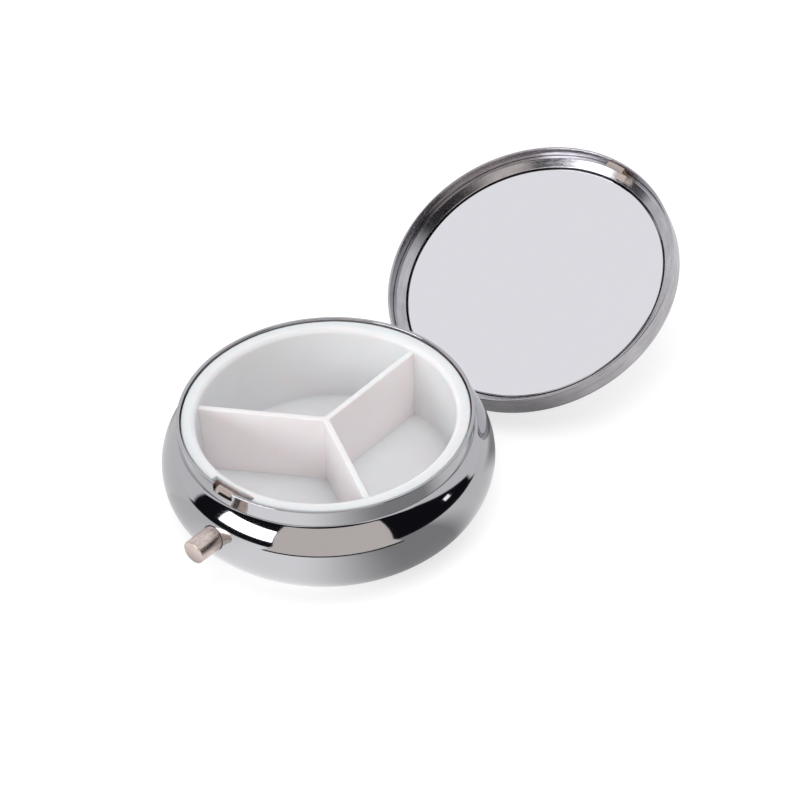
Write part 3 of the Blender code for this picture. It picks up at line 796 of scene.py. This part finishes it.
def make_base_shell():
    outline = shell_outline()
    shell = lathe("base_shell_plate", outline, CHROME, 288)
    window = block("window", (-WINDOW_HALF, 17.0, WINDOW_BOTTOM), (WINDOW_HALF, 30.0, WINDOW_TOP),
                   CHROME, 0.5, 4)
    notch = block("notch", (-NOTCH_HALF, -24.0, NOTCH_BOTTOM), (NOTCH_HALF, -18.0, RIM_Z + 3),
                  CHROME, 0.3, 4)
    hole = rod("hole", BUTTON_HOLE_R, (0, -30, BUTTON_Z), (0, -21, BUTTON_Z), CHROME, 96)
    boolean(shell, "DIFFERENCE", window, notch, hole)
    for node in ("guide_rivet_left", "guide_rivet_right"):
        low, high = node_box(node)
        centre = (low + high) / 2
        boolean(shell, "DIFFERENCE",
                rod("rivet_hole", RIVET_HOLE_R, (centre.x, centre.y, -1), (centre.x, centre.y, 2), CHROME))
    polish(shell, outline)
    finish_piece(shell, "base", "chrome_plate", "base_shell")


# ---------------------------------------------------------------- tray
def make_tray():
    under = TRAY_UNDER_Z
    flange_under = TRAY_TOP_Z - FLANGE_THICKNESS
    corners = [(0.0, TRAY_FLOOR_Z), (WALL_FOOT_R, TRAY_FLOOR_Z, 0.35), (WALL_TOP_R, TRAY_TOP_Z, 0.8),
               (FLANGE_R, TRAY_TOP_Z, 0.18), (FLANGE_R, flange_under, 0.08),
               (OUTER_TOP_R, flange_under, 0.3), (OUTER_FOOT_R, under, 0.1),
               (SKIRT_R, under - 0.1, 0.05), (SKIRT_R, SKIRT_BOTTOM_Z, 0.2),
               (SKIRT_INNER_R, SKIRT_BOTTOM_Z, 0.2), (SKIRT_INNER_R, under, 0.3), (0.0, under)]
    outline = rounded(corners)
    tray = lathe("tray_moulding", outline, PLASTIC, 180)
    foot = (TRAY_FLOOR_Z + under) / 2
    middle = (foot + DIVIDER_TOP_Z) / 2
    reach = (WALL_TOP_R + OUTER_FOOT_R) / 2
    for angle in DIVIDER_ANGLES:
        wall = block("wall", (0.0, -0.5, foot), (reach, 0.5, DIVIDER_TOP_Z), PLASTIC)
        for vert in wall.data.vertices:
            half = DIVIDER_TOP_HALF if vert.co.z / MM > middle else DIVIDER_FOOT_HALF
            vert.co.y = math.copysign(half * MM, vert.co.y)
        soften(wall, 0.16, 3)
        wall.rotation_euler.z = math.radians(angle)
        boolean(tray, "UNION", wall)
    recess = block("recess", (RECESS_X - RECESS_HALF, -24.0, TRAY_TOP_Z - 0.95),
                   (RECESS_X + RECESS_HALF, -RECESS_Y, TRAY_TOP_Z + 2), PLASTIC)
    doorway = block("doorway", (-DOORWAY_HALF, -24.0, 0.0), (DOORWAY_HALF, -17.4, under - 0.05), PLASTIC)
    boolean(tray, "DIFFERENCE", recess, doorway)
    polish(tray, outline)
    finish_piece(tray, "base", "white_plastic", "pill_tray")


# ---------------------------------------------------------------- lid
def make_lid_shell():
    outer = [(0.0, LID_TOP_Z), (LID_R, LID_TOP_Z, LID_CORNER_R), (LID_R, LID_OPENING_Z, LID_EDGE),
             (LID_R - LID_SHEET, LID_OPENING_Z, LID_EDGE),
             (LID_R - LID_SHEET, LID_TOP_Z - LID_SHEET, LID_CORNER_R - LID_SHEET),
             (0.0, LID_TOP_Z - LID_SHEET)]
    outline = rounded(outer)
    shell = lathe("lid_cover", outline, LID_SATIN, 288)
    polish(shell, outline)
    swing_open(shell)
    finish_piece(shell, "lid", "satin_steel", "lid_shell")


def make_mirror_ring():
    wall = LID_R - LID_SHEET - RING_GAP
    face = RING_FACE_Z
    lip = face + RING_LIP_DROP
    corners = [(wall, face, 0.05), (wall, face + RING_SHEET, 0.05),
               (RING_STEP_R, face + RING_SHEET + RING_GAP, 0.2),
               (RING_THROAT_R + 0.25, lip, 0.08), (RING_THROAT_R, lip, 0.08),
               (RING_THROAT_R, face + RING_DROP, 0.15), (RING_STEP_R, face, 0.1)]
    outline = rounded(corners[::-1], closed=True)
    ring = lathe("mirror_ring_pressing", outline, RING_SATIN, 288)
    polish(ring, outline)
    swing_open(ring)
    finish_piece(ring, "lid", "satin_steel", "mirror_ring")


def make_mirror():
    corners = [(0.0, MIRROR_BACK_Z), (MIRROR_R, MIRROR_BACK_Z, 0.1), (MIRROR_R, MIRROR_FACE_Z, 0.2),
               (0.0, MIRROR_FACE_Z)]
    outline = rounded(corners)
    mirror = lathe("mirror_disc", outline, GLASS, 240)
    polish(mirror, outline)
    swing_open(mirror)
    finish_piece(mirror, "lid", "mirror_glass", "mirror")


# ---------------------------------------------------------------- button
def make_button():
    tip = -BUTTON_LOW.y
    corners = [(0.0, tip), (BUTTON_R, tip, BUTTON_EDGE), (BUTTON_R, BUTTON_FLANGE_OUT, 0.05),
               (BUTTON_FLANGE_R, BUTTON_FLANGE_OUT, 0.08), (BUTTON_FLANGE_R, BUTTON_FLANGE_IN, 0.08),
               (BUTTON_BORE_R, BUTTON_FLANGE_IN, 0.05), (BUTTON_BORE_R, BUTTON_BORE_END, 0.1),
               (STEM_R, BUTTON_BORE_END, 0.1), (STEM_R, STEM_END, 0.05), (0.0, STEM_END)]
    outline = rounded(corners)
    facing_front = Matrix.Rotation(math.pi / 2, 3, "X")
    button = lathe("button_cap", outline, NICKEL, 96, facing_front, (0.0, 0.0, BUTTON_Z))
    polish(button, outline)
    finish_piece(button, "button", "warm_nickel", "push_button")


def dress_cad_nodes():
    """Small pieces whose CAD shape is kept get a better material."""
    finishes = {"base_hinge_leaf": STEEL, "hinge_pin": STEEL, "latch_guide": STEEL,
                "guide_rivet_left": STEEL, "guide_rivet_right": STEEL, "latch_strip": STRIP_NICKEL,
                "stem_retainer": STEEL, "button_spring": STEEL, "lid_hinge_leaf": LID_SATIN,
                "lid_catch": STRIP_NICKEL, "mirror_pad": FOAM}
    for node, material in finishes.items():
        piece = frame["nodes"][node]
        piece.data.materials.clear()
        piece.data.materials.append(material)


make_camera()
make_world()
make_floor()
make_backdrop()
make_lights()
make_base_shell()
make_tray()
make_lid_shell()
make_mirror_ring()
make_mirror()
make_button()
dress_cad_nodes()

bpy.context.scene.view_settings.view_transform = "Standard"
